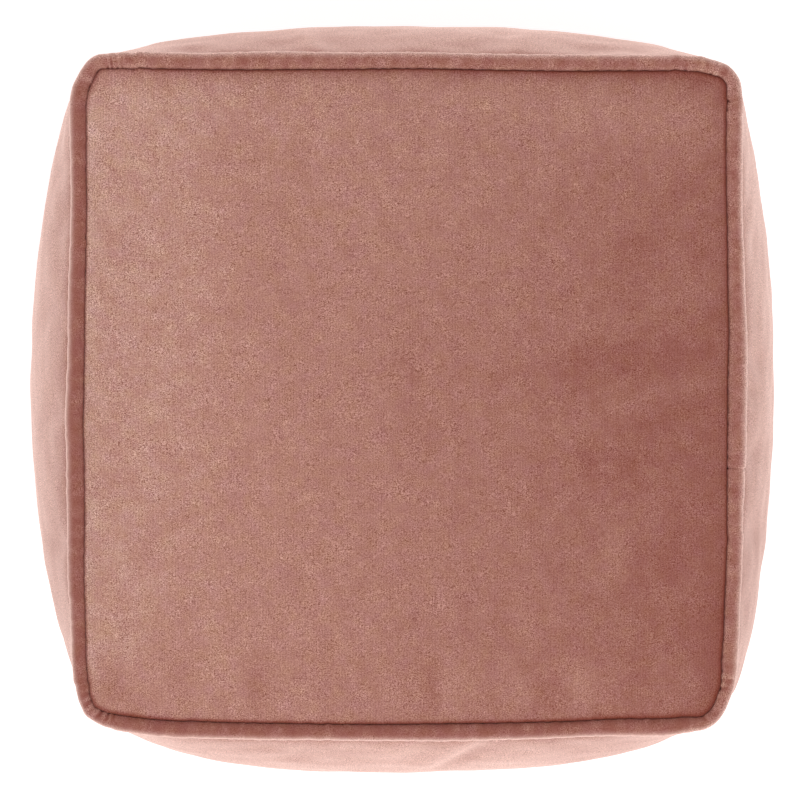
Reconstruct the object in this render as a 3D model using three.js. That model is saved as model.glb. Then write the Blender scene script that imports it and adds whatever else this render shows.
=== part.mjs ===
// A square velvet footstool: a soft filled cube with a crowned top, barrel sides and a flat base.
// Millimetres, +Z up. The origin is on the floor under the middle of the footstool.
// +Y is the back, +X is the right when it is seen from the front or from above.
//
// Five sewn pieces: the top panel and the bottom panel (sheets), the side band with what it
// holds (the one filled solid), and a round piping in each of the two seams.

import * as THREE from "three";

// ---------------------------------------------------------------- driving dimensions
const HEIGHT = 400; // floor to the top of the crown
const CROWN = 24; // how far the filling lifts the middle of the top above its seam
const SHEET = 2.5; // velvet panel with its pile
const PIPING_R = 5.35; // velvet-covered cord
const PIPING_OFFSET = 5.65; // cord centre, outside the seam line
const GAP = 0.3; // between pieces that touch
const BOTTOM_SEAM_Z = 12; // the lower seam stands a little off the floor
const BASE_FLAT = 0.84; // share of the bottom panel that lies flat on the floor
const CORNER_DROP = 4; // the top corners hang a little lower than the middles of the sides
const BELLY_AT = 0.46; // height of the widest place, as a share of the side's height
const BELLY_FULLNESS = 2.15; // above 2 the side is fuller than a parabola
const SHOULDER = 5; // the band leaves each piping level by this much before it turns to the side
const JOIN_AT = -0.235; // where the piping's ends meet: share of the right side, from its middle
const JOIN_GAP = 0.4;
const CORNER_SEAM_DRAW = 1.6; // how deep the upright corner seams pull in
const TOP_SEAM_Z = HEIGHT - CROWN - SHEET / 2;

const SIDES = ["right", "back", "left", "front"];

// Distance of each side from the middle at its corners, how much further out one end is than
// the other (lean), how far the middle of the side bows out past its ends, and how much of that
// bow is a plain parabola (the rest is flatter in the middle and turns in faster at the ends).
// Then how far the line turns in towards its front or left end (turnA) and over what share of
// half the side (overA), and the same for its back or right end (turnB, overB).
const TOP_SEAM = {
  right: { corner: 215.85, lean: 0.64, bow: 0.8, parabola: 1, turnA: 2.9, overA: 0.6, turnB: 0, overB: 0.1 },
  back: { corner: 218.75, lean: -0.85, bow: -0.15, parabola: 1, turnA: 0, overA: 0.1, turnB: 5.75, overB: 0.13 },
  left: { corner: 210.7, lean: -0.92, bow: 0.4, parabola: 1, turnA: 4.5, overA: 0.49, turnB: 8.4, overB: 0.11 },
  front: { corner: 212.6, lean: -0.68, bow: 4.1, parabola: 1, turnA: 6, overA: 0.3, turnB: 13.8, overB: 0.07 },
};
const BELLY = {
  right: { corner: 239, lean: 2.1, bow: 25.6, parabola: 0.99, turnA: 7, overA: 0.27, turnB: 8.8, overB: 0.54 },
  back: { corner: 233, lean: -0.25, bow: 31.5, parabola: 0.48, turnA: 0.2, overA: 0.52, turnB: 4.1, overB: 0.33 },
  left: { corner: 227.6, lean: 2, bow: 36.4, parabola: 0.88, turnA: 9.7, overA: 0.51, turnB: 6.8, overB: 0.45 },
  front: { corner: 220.4, lean: -0.7, bow: 44.2, parabola: 0.17, turnA: 6, overA: 0.47, turnB: 6.5, overB: 0.88 },
};
const BOTTOM_SEAM = {
  right: { corner: 215, lean: 0, bow: 4, parabola: 1, turnA: 0, overA: 0.1, turnB: 0, overB: 0.1 },
  back: { corner: 217, lean: 0, bow: 4, parabola: 1, turnA: 0, overA: 0.1, turnB: 0, overB: 0.1 },
  left: { corner: 215, lean: 0, bow: 4, parabola: 1, turnA: 0, overA: 0.1, turnB: 0, overB: 0.1 },
  front: { corner: 217, lean: 0, bow: 4, parabola: 1, turnA: 0, overA: 0.1, turnB: 0, overB: 0.1 },
};

// Radius of each corner, named for the side it comes after, anticlockwise.
const CORNER_RADIUS = {
  top: { right: 5.5, back: 2.5, left: 11.8, front: 10.3 },
  belly: { right: 15.4, back: 25.3, left: 13.6, front: 10.6 },
  bottom: { right: 20, back: 20, left: 20, front: 20 },
};

// Soft buckles of the side band. along: from the middle of the side, to the right or the back.
// reach and rise: half lengths along the side and up it. slant: degrees from upright.
const BUCKLES = [
  { side: "back", along: -45, height: 300, reach: 45, rise: 45, slant: 30, depth: 4 },
  { side: "back", along: 95, height: 305, reach: 45, rise: 45, slant: -20, depth: 3.5 },
  { side: "back", along: 152, height: 325, reach: 34, rise: 34, slant: 0, depth: 2.5 },
  { side: "back", along: 40, height: 100, reach: 60, rise: 36, slant: 0, depth: 4 },
  { side: "front", along: 30, height: 310, reach: 40, rise: 48, slant: -35, depth: 4 },
  { side: "front", along: -100, height: 300, reach: 40, rise: 50, slant: 10, depth: 3 },
  { side: "front", along: -50, height: 95, reach: 60, rise: 36, slant: 0, depth: 4 },
  { side: "left", along: 54, height: 300, reach: 40, rise: 60, slant: 0, depth: 3.5 },
  { side: "left", along: -16, height: 290, reach: 36, rise: 60, slant: 8, depth: 4 },
  { side: "left", along: -104, height: 310, reach: 36, rise: 46, slant: 0, depth: 3 },
  { side: "left", along: 70, height: 95, reach: 60, rise: 36, slant: 0, depth: 4 },
  { side: "right", along: 104, height: 300, reach: 36, rise: 55, slant: 0, depth: 3 },
  { side: "right", along: 25, height: 290, reach: 40, rise: 50, slant: 10, depth: 4 },
  { side: "right", along: -100, height: 300, reach: 45, rise: 50, slant: -15, depth: 4 },
  { side: "right", along: 55, height: 95, reach: 60, rise: 36, slant: 0, depth: 4 },
];

// Section of the band where it wraps the piping: out from the seam line, and down from it.
const WRAP = [
  { out: 0.0, down: 1.25 + GAP },
  { out: 1.2, down: 3.6 },
  { out: 3.2, down: 5.3 },
  { out: 5.6, down: 5.9 },
];

// Where the outline is sampled, as shares of a side's straight run: closer together at its ends.
const SIDE_SHARES = [0, 0.02, 0.056, 0.123, 0.223, 0.353, 0.5, 0.647, 0.777, 0.877, 0.944, 0.98];
const BEFORE_JOIN = 5; // of those, the ones on the right side that come before the piping's join
const AFTER_JOIN = 6; // and where the ones after it begin
const CORNER_STEPS = 6; // steps round each corner
const WALL_LEVELS = [6, 17, 34, 62, 100, 144, 190, 236, 278, 312, 334, 345]; // below the top piping
const WALL_HEIGHT = 351; // that these levels are measured on
const TOP_RINGS = [0.2, 0.42, 0.63, 0.81, 0.93];
const CORD_SIDES = 10;
const ROUND_R = 232; // radius of the panels' round inner contours, before they shrink
const ROUNDING = 1.6; // how soon the contours turn round on the way in

// ---------------------------------------------------------------- the outline's samples
// A unit square with rounded corners, walked once anticlockwise from the piping's join. Each
// sample is { a, b }: a runs from -1 (left) to 1 (right), b from -1 (front) to 1 (back). Any
// radii give the same number of samples, and the same sample is the middle of the same corner.
const HALF = 217;
const OUTWARD = { right: [1, 0], back: [0, 1], left: [-1, 0], front: [0, -1] };
const before = (side) => SIDES[(SIDES.indexOf(side) + 3) % 4];

function onSide(side, s) {
  // s: distance along the side from its middle, anticlockwise
  const [ox, oy] = OUTWARD[side];
  return { a: ox - oy * s, b: oy + ox * s };
}

function corner(side, r) {
  const [ox, oy] = OUTWARD[side];
  const centre = { a: (ox - oy) * (1 - r), b: (oy + ox) * (1 - r) };
  return Array.from({ length: CORNER_STEPS }, (_, i) => {
    const turn = (Math.PI / 2) * (i / CORNER_STEPS);
    const c = Math.cos(turn),
      s = Math.sin(turn);
    return {
      a: centre.a + r * (ox * c - oy * s),
      b: centre.b + r * (oy * c + ox * s),
      middle: i === CORNER_STEPS / 2,
    };
  });
}

function walk(radius) {
  const r = (side) => radius[side] / HALF;
  const straight = (side, shares) => {
    const from = -1 + r(before(side)),
      to = 1 - r(side);
    return shares.map((share) => onSide(side, from + (to - from) * share));
  };
  return [
    onSide("right", JOIN_AT),
    ...straight("right", SIDE_SHARES.slice(AFTER_JOIN)),
    ...corner("right", r("right")),
    ...["back", "left", "front"].flatMap((side) => [
      ...straight(side, SIDE_SHARES),
      ...corner(side, r(side)),
    ]),
    ...straight("right", SIDE_SHARES.slice(0, BEFORE_JOIN)),
  ];
}
const SAMPLES = walk(CORNER_RADIUS.top);
const N = SAMPLES.length;

// ---------------------------------------------------------------- outlines in millimetres
function reach(row, s) {
  const q = s * s;
  return (
    row.corner +
    row.lean * s +
    row.bow * (row.parabola * (1 - q) + (1 - row.parabola) * (1 - q * q)) -
    row.turnA * Math.max(0, 1 - (1 + s) / row.overA) ** 2 -
    row.turnB * Math.max(0, 1 - (1 - s) / row.overB) ** 2
  );
}

function outline(table, radius) {
  return walk(radius).map(
    ({ a, b }) =>
      new THREE.Vector2(
        a * reach(a > 0 ? table.right : table.left, b),
        b * reach(b > 0 ? table.back : table.front, a),
      ),
  );
}

function outwardNormals(points) {
  return points.map((p, i) => {
    const along = points[(i + 1) % N].clone().sub(points[(i + N - 1) % N]).normalize();
    return new THREE.Vector2(along.y, -along.x);
  });
}

function moved(points, normals, distance) {
  return points.map((p, i) => p.clone().addScaledVector(normals[i], distance));
}

const topSeam = outline(TOP_SEAM, CORNER_RADIUS.top);
const topNormals = outwardNormals(topSeam);
const bottomSeam = outline(BOTTOM_SEAM, CORNER_RADIUS.bottom);
const bottomNormals = outwardNormals(bottomSeam);
const belly = outline(BELLY, CORNER_RADIUS.belly);
const bellyNormals = outwardNormals(belly);

// The top seam's height at each sample, from the height at the middles of the sides.
const topDrop = SAMPLES.map(({ a, b }) => -CORNER_DROP * (a * b) ** 2);

// ---------------------------------------------------------------- closed lofts
// Rings of N points, from the middle of the top outwards, down and back in to the middle of the
// underside. A ring of one point closes the end in a fan; "flat" closes it with a flat face.
function loft(rings, { first, last }) {
  const position = rings.flat().flatMap((p) => [p.x, p.y, p.z]);
  const index = [];
  for (let r = 0; r + 1 < rings.length; r++)
    for (let i = 0; i < N; i++) {
      const j = (i + 1) % N;
      const [a, b, c, d] = [r * N + i, (r + 1) * N + i, (r + 1) * N + j, r * N + j];
      index.push(a, b, c, a, c, d);
    }
  const close = (cap, ring, base, up) => {
    if (cap === "flat") {
      const flat = ring.map((p) => new THREE.Vector2(p.x, p.y));
      for (const [i, j, k] of THREE.ShapeUtils.triangulateShape(flat, []))
        index.push(...(up ? [base + i, base + j, base + k] : [base + i, base + k, base + j]));
      return;
    }
    const tip = position.length / 3;
    position.push(cap.x, cap.y, cap.z);
    for (let i = 0; i < N; i++) {
      const j = (i + 1) % N;
      index.push(tip, ...(up ? [base + i, base + j] : [base + j, base + i]));
    }
  };
  close(first, rings[0], 0, true);
  close(last, rings.at(-1), (rings.length - 1) * N, false);
  const geometry = new THREE.BufferGeometry();
  geometry.setAttribute("position", new THREE.Float32BufferAttribute(position, 3));
  geometry.setIndex(index);
  geometry.computeVertexNormals();
  return geometry;
}

const ring = (points, height) =>
  points.map((p, i) => new THREE.Vector3(p.x, p.y, height(i)));
// Contours of a stuffed panel: the seam's own outline at the edge, rounder towards the middle.
const shrunk = (points, share) =>
  points.map((p) => {
    const round = p.clone().setLength(ROUND_R);
    return round.lerp(p, share ** ROUNDING).multiplyScalar(share);
  });
const dome = (share) => CROWN * (1 - share ** 2.2);

// ---------------------------------------------------------------- top panel
// Heights are from the top seam; the panel's own middle surface passes through the seam line.
function topSurface(offset, shares) {
  return shares.map((u) => ring(shrunk(topSeam, u), (i) => dome(u) + topDrop[i] * u * u + offset));
}
const topPanel = loft(
  [
    ...topSurface(SHEET / 2, [...TOP_RINGS, 1]),
    ...topSurface(-SHEET / 2, [1, ...TOP_RINGS.toReversed()]),
  ],
  {
    first: new THREE.Vector3(0, 0, CROWN + SHEET / 2),
    last: new THREE.Vector3(0, 0, CROWN - SHEET / 2),
  },
);

// ---------------------------------------------------------------- bottom panel
// Heights are from the bottom seam. The outer surface comes down to the floor and lies flat.
const BASE_RINGS = [BASE_FLAT, 0.9, 0.955, 1]; // of the base: the flat's edge, then out to the seam
const floorCurve = (u) =>
  (BOTTOM_SEAM_Z - SHEET / 2) * ((u - BASE_FLAT) / (1 - BASE_FLAT)) ** 1.8 - BOTTOM_SEAM_Z;
const bottomSurface = (offset, shares) =>
  shares.map((u) => ring(shrunk(bottomSeam, u), () => floorCurve(u) + offset));
const bottomPanel = loft(
  [...bottomSurface(SHEET, BASE_RINGS), ...bottomSurface(0, BASE_RINGS.toReversed())],
  { first: "flat", last: "flat" },
);

// ---------------------------------------------------------------- side band, the filled solid
function buckle(side, along, height) {
  let depth = 0;
  for (const row of BUCKLES) {
    if (row.side !== side) continue;
    const turn = THREE.MathUtils.degToRad(row.slant);
    const p = along - row.along,
      q = height - row.height;
    const across = p * Math.cos(turn) - q * Math.sin(turn),
      up = p * Math.sin(turn) + q * Math.cos(turn);
    depth += row.depth * Math.exp(-((across / row.reach) ** 2) - (up / row.rise) ** 2);
  }
  return depth;
}

// How far the band stands out at a distance from a piping, past the plain curve of the side.
const shoulder = (s) => SHOULDER * (1 - Math.exp(-s / 6)) * Math.exp(-s / 45);

function wallRing(v) {
  // v: from 0 at the bottom piping to 1 at the top piping
  const q = Math.log(0.5) / Math.log(BELLY_AT);
  const full = 1 - Math.abs(2 * v ** q - 1) ** BELLY_FULLNESS;
  const under = WRAP.at(-1);
  const seam =
    v > BELLY_AT
      ? moved(topSeam, topNormals, under.out)
      : moved(bottomSeam, bottomNormals, under.out);
  const low = BOTTOM_SEAM_Z + under.down;
  return SAMPLES.map((sample, i) => {
    const high = TOP_SEAM_Z + topDrop[i] - under.down;
    const z = low + (high - low) * v;
    const p = seam[i].clone().lerp(belly[i], full);
    const side =
      Math.abs(sample.a) > Math.abs(sample.b)
        ? sample.a > 0 ? "right" : "left"
        : sample.b > 0 ? "back" : "front";
    const along = side === "right" || side === "left" ? p.y : p.x;
    const pulled = sample.middle ? CORNER_SEAM_DRAW * Math.sin(Math.PI * v) ** 0.5 : 0;
    const level = shoulder(high - z) + shoulder(z - low);
    p.addScaledVector(bellyNormals[i], level - buckle(side, along, z) - pulled);
    return new THREE.Vector3(p.x, p.y, z);
  });
}

const underTop = SHEET / 2 + GAP;
const sideBand = loft(
  [
    ...TOP_RINGS.map((u) =>
      ring(shrunk(topSeam, u), (i) => TOP_SEAM_Z + dome(u) + topDrop[i] * u * u - underTop),
    ),
    ...WRAP.map(({ out, down }) =>
      ring(moved(topSeam, topNormals, out), (i) => TOP_SEAM_Z + topDrop[i] - down),
    ),
    ...WALL_LEVELS.map((down) => wallRing(1 - down / WALL_HEIGHT)),
    ...WRAP.toReversed().map(({ out, down }) =>
      ring(moved(bottomSeam, bottomNormals, out), () => BOTTOM_SEAM_Z + down),
    ),
    ...BASE_RINGS.slice(0, -1)
      .toReversed()
      .map((u) =>
        ring(shrunk(bottomSeam, u), () => BOTTOM_SEAM_Z + floorCurve(u) + SHEET + GAP),
      ),
  ],
  { first: new THREE.Vector3(0, 0, TOP_SEAM_Z + CROWN - underTop), last: "flat" },
);

// ---------------------------------------------------------------- piping
// The cord runs once round the seam and its two ends meet, with a fine gap, at the join. It
// takes one step for each sample of the outline, so it bends where the panels bend.
class SeamCurve extends THREE.Curve {
  constructor(points, drop) {
    super();
    this.points = points.map((p, i) => new THREE.Vector3(p.x, p.y, drop[i]));
    const back = this.points.at(-1).clone().sub(this.points[0]).setLength(JOIN_GAP);
    this.points.push(this.points[0].clone().add(back));
  }
  getPoint(t, target = new THREE.Vector3()) {
    const last = this.points.length - 1;
    const s = THREE.MathUtils.clamp(t, 0, 1) * last;
    const i = Math.min(Math.floor(s + 1e-9), last - 1);
    return target.lerpVectors(this.points[i], this.points[i + 1], s - i);
  }
  getPointAt(u, target) {
    return this.getPoint(u, target);
  }
  getTangentAt(u, target = new THREE.Vector3()) {
    const last = this.points.length - 1;
    const i = Math.round(u * last);
    const ahead = this.points[i === last ? 1 : i + 1];
    const behind = this.points[i === 0 ? last - 1 : i - 1];
    return target.subVectors(ahead, behind).normalize();
  }
}

function cordSection() {
  const section = new THREE.Shape();
  for (let k = 0; k < CORD_SIDES; k++) {
    const turn = (2 * Math.PI * (k + 0.5)) / CORD_SIDES;
    const x = PIPING_R * Math.cos(turn),
      y = PIPING_R * Math.sin(turn);
    if (k) section.lineTo(x, y);
    else section.moveTo(x, y);
  }
  section.closePath();
  return section;
}

function piping(seam, normals, drop) {
  return new THREE.ExtrudeGeometry(cordSection(), {
    steps: N,
    bevelEnabled: false,
    extrudePath: new SeamCurve(moved(seam, normals, PIPING_OFFSET), drop),
  });
}
const topPiping = piping(topSeam, topNormals, topDrop);
const bottomPiping = piping(bottomSeam, bottomNormals, SAMPLES.map(() => 0));

// ---------------------------------------------------------------- scene graph
const velvet = (color, roughness) =>
  new THREE.MeshStandardMaterial({ color, roughness, metalness: 0 });

function piece(name, geometry, material) {
  const mesh = new THREE.Mesh(geometry, material);
  mesh.name = name;
  return mesh;
}

const top = new THREE.Group();
top.position.z = TOP_SEAM_Z;
top.add(piece("top_panel", topPanel, velvet(0xb27d70, 0.95)));
top.add(piece("top_piping", topPiping, velvet(0xa8705f, 0.95)));

const bottom = new THREE.Group();
bottom.position.z = BOTTOM_SEAM_Z;
bottom.add(piece("bottom_panel", bottomPanel, velvet(0x9a6a5e, 1.0)));
bottom.add(piece("bottom_piping", bottomPiping, velvet(0xa8705f, 0.95)));

const footstool = new THREE.Group();
footstool.add(top, piece("side_band", sideBand, velvet(0xc9988b, 0.9)), bottom);

export default footstool;
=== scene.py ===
import math

import bpy
import mathutils
import numpy as np
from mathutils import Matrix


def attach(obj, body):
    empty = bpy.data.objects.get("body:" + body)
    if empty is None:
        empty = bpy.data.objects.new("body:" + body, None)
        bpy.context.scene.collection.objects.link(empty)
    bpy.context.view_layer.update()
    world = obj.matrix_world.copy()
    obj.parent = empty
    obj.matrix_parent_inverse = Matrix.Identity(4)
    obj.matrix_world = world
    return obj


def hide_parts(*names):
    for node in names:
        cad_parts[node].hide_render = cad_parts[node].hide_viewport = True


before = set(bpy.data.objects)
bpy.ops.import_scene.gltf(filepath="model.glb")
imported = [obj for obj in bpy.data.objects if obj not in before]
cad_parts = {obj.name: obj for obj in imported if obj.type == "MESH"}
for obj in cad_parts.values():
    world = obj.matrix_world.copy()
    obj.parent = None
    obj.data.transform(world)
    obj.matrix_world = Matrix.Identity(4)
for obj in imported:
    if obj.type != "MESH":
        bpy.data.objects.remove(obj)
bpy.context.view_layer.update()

# ---------------------------------------------------------------- sizes, as the frame has them
HEIGHT = 400.0
CROWN = 24.0
SHEET = 2.5
PIPING_R = 5.35
PIPING_OFFSET = 5.65
BOTTOM_SEAM_Z = 12.0
BASE_FLAT = 0.84
CORNER_DROP = 4.0
BELLY_AT = 0.46
BELLY_FULLNESS = 2.15
SHOULDER = 5.0
JOIN_AT = -0.235
TOP_SEAM_Z = HEIGHT - CROWN - SHEET / 2
HALF = 217.0
ROUND_R = 232.0
ROUNDING = 1.6

SIDES = ("right", "back", "left", "front")
OUTWARD = {"right": (1, 0), "back": (0, 1), "left": (-1, 0), "front": (0, -1)}
# Radius of the corner after each side, at the top seam, the belly and the bottom seam.
TOP_R = {"right": 5.5, "back": 2.5, "left": 11.8, "front": 10.3}
BELLY_R = {"right": 15.4, "back": 25.3, "left": 13.6, "front": 10.6}
BOTTOM_R = {"right": 20.0, "back": 20.0, "left": 20.0, "front": 20.0}

# side: distance at its corners, lean, bow, share of the bow that is a plain parabola, then how
# far the seam turns in towards its front or left end and over what share of half the side, and
# the same for its back or right end
TOP_SEAM = {
    "right": (215.85, 0.64, 0.8, 1.0, 2.9, 0.60, 0.0, 0.1),
    "back": (218.75, -0.85, -0.15, 1.0, 0.0, 0.1, 5.75, 0.13),
    "left": (210.7, -0.92, 0.4, 1.0, 4.5, 0.49, 8.4, 0.11),
    "front": (212.6, -0.68, 4.1, 1.0, 6.0, 0.30, 13.8, 0.07),
}
BELLY = {
    "right": (238.8, 2.1, 25.2, 0.99, 7.0, 0.27, 8.8, 0.54),
    "back": (232.7, -0.25, 31.3, 0.48, 0.2, 0.52, 4.1, 0.33),
    "left": (227.3, 2.0, 36.2, 0.88, 9.7, 0.51, 6.8, 0.45),
    "front": (220.4, -0.7, 44.2, 0.17, 6.0, 0.47, 6.5, 0.88),
}
BOTTOM_SEAM = {
    "right": (215, 0, 4, 1, 0.0, 0.1, 0.0, 0.1),
    "back": (217, 0, 4, 1, 0.0, 0.1, 0.0, 0.1),
    "left": (215, 0, 4, 1, 0.0, 0.1, 0.0, 0.1),
    "front": (217, 0, 4, 1, 0.0, 0.1, 0.0, 0.1),
}

# Where the stitched line wanders. side or corner, mm along it from its middle (to the back or
# the right on a side, anticlockwise at a corner), half length, outwards
DRIFTS = [
    ("right", 45, 20, 0.8),
    ("right", -103, 6, 0.6),
    ("right", -55, 22, -0.2),
    ("right", 160, 42, -0.85),
    ("right", -188, 12, -0.7),
    ("right", -152, 16, -0.4),
    ("right", 203, 3, 0.6),
    ("back", 8, 38, 0.65),
    ("back", -118, 44, -0.5),
    ("back", 108, 36, -0.45),
    ("back", 183, 2.5, 0.9),
    ("back", -194, 2.2, -0.5),
    ("back", -188.5, 2.2, 0.75),
    ("left", -18, 15, 0.85),
    ("left", 10, 18, 0.4),
    ("left", -184, 14, 0.7),
    ("left", -85, 24, -0.3),
    ("left", -146, 10, -0.25),
    ("left", 108, 34, -0.5),
    ("left", 130, 12, -0.3),
    ("left", 190, 12, 0.35),
    ("front", 146, 22, -0.85),
    ("front", -50, 26, 0.22),
    ("front", 0, 26, 0.22),
    ("front", -143, 10, -0.3),
    ("front", 193, 7, -0.5),
]
CORNER_DRIFTS = [
    ("left", 0.0, 2.5, 0.9),
]

# Where the widest line round the side band wanders, in the same way
BELLY_DRIFTS = [
    ("left", 45, 16, -0.5),
    ("left", -102, 10, -0.5),
    ("right", -75, 30, -0.5),
    ("right", -95, 12, -0.6),
    ("right", 66, 12, -0.5),
    ("right", 14, 14, -0.5),
    ("back", 56, 18, 1.0),
    ("back", -26, 24, -0.7),
]

# How much wider the piping is than its plain cord, every 30 mm from 180 mm before the middle of
# a side to 180 mm after it
WIDTH_STEP = 30
WIDTHS = {
    "right": (0.4, 0.2, 0.2, -0.1, 1.4, 2.8, 2.6, 2.1, 1.3, 0.6, 0.1, 0.5, 0.3),
    "back": (0.7, 0.1, 1.3, 1.4, 1.0, 0.7, 0.7, 0.1, 0.3, 0.2, 0.5, 0.0, -0.1),
    "left": (-0.9, -0.3, 0.6, 1.2, 1.7, 1.2, 1.6, 1.0, 0.8, 0.6, 0.3, 0.0, 0.6),
    "front": (0.3, 0.7, 0.5, 1.0, 0.2, 0.5, 0.5, 1.2, 0.9, 0.8, 0.1, 1.1, 1.2),
}
# corner: how much slimmer the piping is there, over what half length, and how far round from
# the corner's middle, anticlockwise
CORNER_SLIM = {"right": (1.1, 9, 0), "back": (1.1, 9, 0), "left": (1.9, 13, 0), "front": (3.2, 17, -5)}


# ---------------------------------------------------------------- seeded unevenness
def field(points, shortest, longest, seed, count=36):
    """A smooth random field of unit strength over points of any dimension, in mm."""
    rng = np.random.default_rng(seed)
    points = np.asarray(points, float)
    way = rng.normal(size=(count, points.shape[-1]))
    way /= np.linalg.norm(way, axis=1)[:, None]
    length = np.exp(rng.uniform(math.log(shortest), math.log(longest), count))
    phase = rng.uniform(0, 2 * math.pi, count)
    total = np.zeros(points.shape[:-1])
    for w, l, p in zip(way, length, phase):
        total += np.cos(points @ w * (2 * math.pi / l) + p)
    return total / math.sqrt(count / 2)


def ripple(along, round_it, shortest, longest, seed, count=22):
    """A smooth random wave of unit strength along a closed seam of length round_it."""
    rng = np.random.default_rng(seed)
    low, high = max(1, int(round_it / longest)), int(round_it / shortest)
    cycles = rng.integers(low, high + 1, count)
    phase = rng.uniform(0, 2 * math.pi, count)
    total = np.zeros_like(along, float)
    for n, p in zip(cycles, phase):
        total += np.cos(along * (2 * math.pi * n / round_it) + p)
    return total / math.sqrt(count / 2)


def bell(x, width):
    return np.exp(-((x / width) ** 2))


def ease(x):
    x = np.clip(x, 0, 1)
    return x * x * (3 - 2 * x)


# ---------------------------------------------------------------- the seam's outline
def unit_outline(radii):
    """The rounded unit square, anticlockwise from the piping's join, as a dense closed line of
    the same number of points for any radii. Also the place of each corner's middle in it."""
    before = {s: SIDES[i - 1] for i, s in enumerate(SIDES)}
    r = {s: radii[s] / HALF for s in SIDES}
    runs = [("line", "right", JOIN_AT, 1 - r["right"]), ("turn", "right")]
    for s in SIDES[1:]:
        runs += [("line", s, -1 + r[before[s]], 1 - r[s]), ("turn", s)]
    runs += [("line", "right", -1 + r["front"], JOIN_AT)]
    points, middles, count = [], {}, 0
    for run in runs:
        ox, oy = OUTWARD[run[1]]
        t = np.linspace(0, 1, 1600 if run[0] == "line" else 400, endpoint=False)
        if run[0] == "line":
            s = run[2] + (run[3] - run[2]) * t
            p = np.stack([ox - oy * s, oy + ox * s], 1)
        else:
            q = r[run[1]]
            c, s = np.cos(t * math.pi / 2), np.sin(t * math.pi / 2)
            p = np.stack(
                [(ox - oy) * (1 - q) + q * (ox * c - oy * s), (oy + ox) * (1 - q) + q * (oy * c + ox * s)], 1
            )
            middles[run[1]] = count + len(t) // 2
        points.append(p)
        count += len(t)
    points = np.concatenate(points)
    return np.concatenate([points, points[:1]]), middles


LINES = {"top": unit_outline(TOP_R), "belly": unit_outline(BELLY_R), "bottom": unit_outline(BOTTOM_R)}
# distance along the top seam, in mm, is the common measure of place for all three
_steps = np.linalg.norm(np.diff(LINES["top"][0], axis=0), axis=1) * HALF
LINE_AT = np.concatenate([[0], np.cumsum(_steps)])
ROUND_IT = LINE_AT[-1]
CORNER_AT = {s: LINE_AT[i] for s, i in LINES["top"][1].items()}


def on_line(along, which="top"):
    along = np.mod(along, ROUND_IT)
    p = LINES[which][0]
    return np.interp(along, LINE_AT, p[:, 0]), np.interp(along, LINE_AT, p[:, 1])


def reach(row, s):
    corner, lean, bow, parabola, turn_a, over_a, turn_b, over_b = row
    q = s * s
    straight = corner + lean * s + bow * (parabola * (1 - q) + (1 - parabola) * (1 - q * q))
    turned = turn_a * np.clip(1 - (1 + s) / over_a, 0, None) ** 2
    return straight - turned - turn_b * np.clip(1 - (1 - s) / over_b, 0, None) ** 2


def outline(table, along, which):
    a, b = on_line(along, which)
    x = a * np.where(a > 0, reach(table["right"], b), reach(table["left"], b))
    y = b * np.where(b > 0, reach(table["back"], a), reach(table["front"], a))
    return np.stack([x, y], 1)


def normals(table, along, which, span=0.8):
    d = outline(table, along + span, which) - outline(table, along - span, which)
    d /= np.linalg.norm(d, axis=1)[:, None]
    return np.stack([d[:, 1], -d[:, 0]], 1)


def from_mark(along, mark):
    """Signed distance along the seam from a mark, the short way round."""
    return np.mod(along - mark + ROUND_IT / 2, ROUND_IT) - ROUND_IT / 2


def place(side, mm):
    """Distance along the seam of a place given in mm along one side, to the back or the right."""
    ox, oy = OUTWARD[side]
    share = mm / HALF * (1 if side in ("right", "front") else -1)
    p = LINES["top"][0]
    target = np.array([ox - oy * share, oy + ox * share])
    return LINE_AT[np.argmin(np.linalg.norm(p - target, axis=1))]


def humps(along, rows, corner_rows=()):
    total = np.zeros_like(along, float)
    for side, mm, half, amount in rows:
        total += amount * bell(from_mark(along, place(side, mm)), half)
    for corner, mm, half, amount in corner_rows:
        total += amount * bell(from_mark(along, CORNER_AT[corner] + mm), half)
    return total


def piping_width(along):
    """The table of widths, read smoothly, a little slimmer round the corners."""
    top, weight = np.zeros_like(along, float), np.zeros_like(along, float)
    for side, row in WIDTHS.items():
        for i, change in enumerate(row):
            near = bell(from_mark(along, place(side, (i - len(row) // 2) * WIDTH_STEP)), 20)
            top, weight = top + change * near, weight + near
    width = top / (weight + 1e-3)
    for corner, (slimmer, half, shift) in CORNER_SLIM.items():
        width = width - slimmer * bell(from_mark(along, CORNER_AT[corner] + shift), half)
    return width


def stations(fine, coarse, spread, marks):
    """Distances along the seam, close together near the marks and wider apart elsewhere."""
    grid = np.linspace(0, ROUND_IT, 20001)
    near = np.full_like(grid, 1e9)
    for m in marks:
        near = np.minimum(near, np.abs(from_mark(grid, m)))
    step = fine + (coarse - fine) * ease(near / spread)
    density = 1 / step
    total = np.concatenate([[0], np.cumsum((density[1:] + density[:-1]) / 2 * np.diff(grid))])
    n = int(round(total[-1]))
    return np.interp(np.arange(n) * total[-1] / n, total, grid)


CORNERS = list(CORNER_AT.values())


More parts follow.
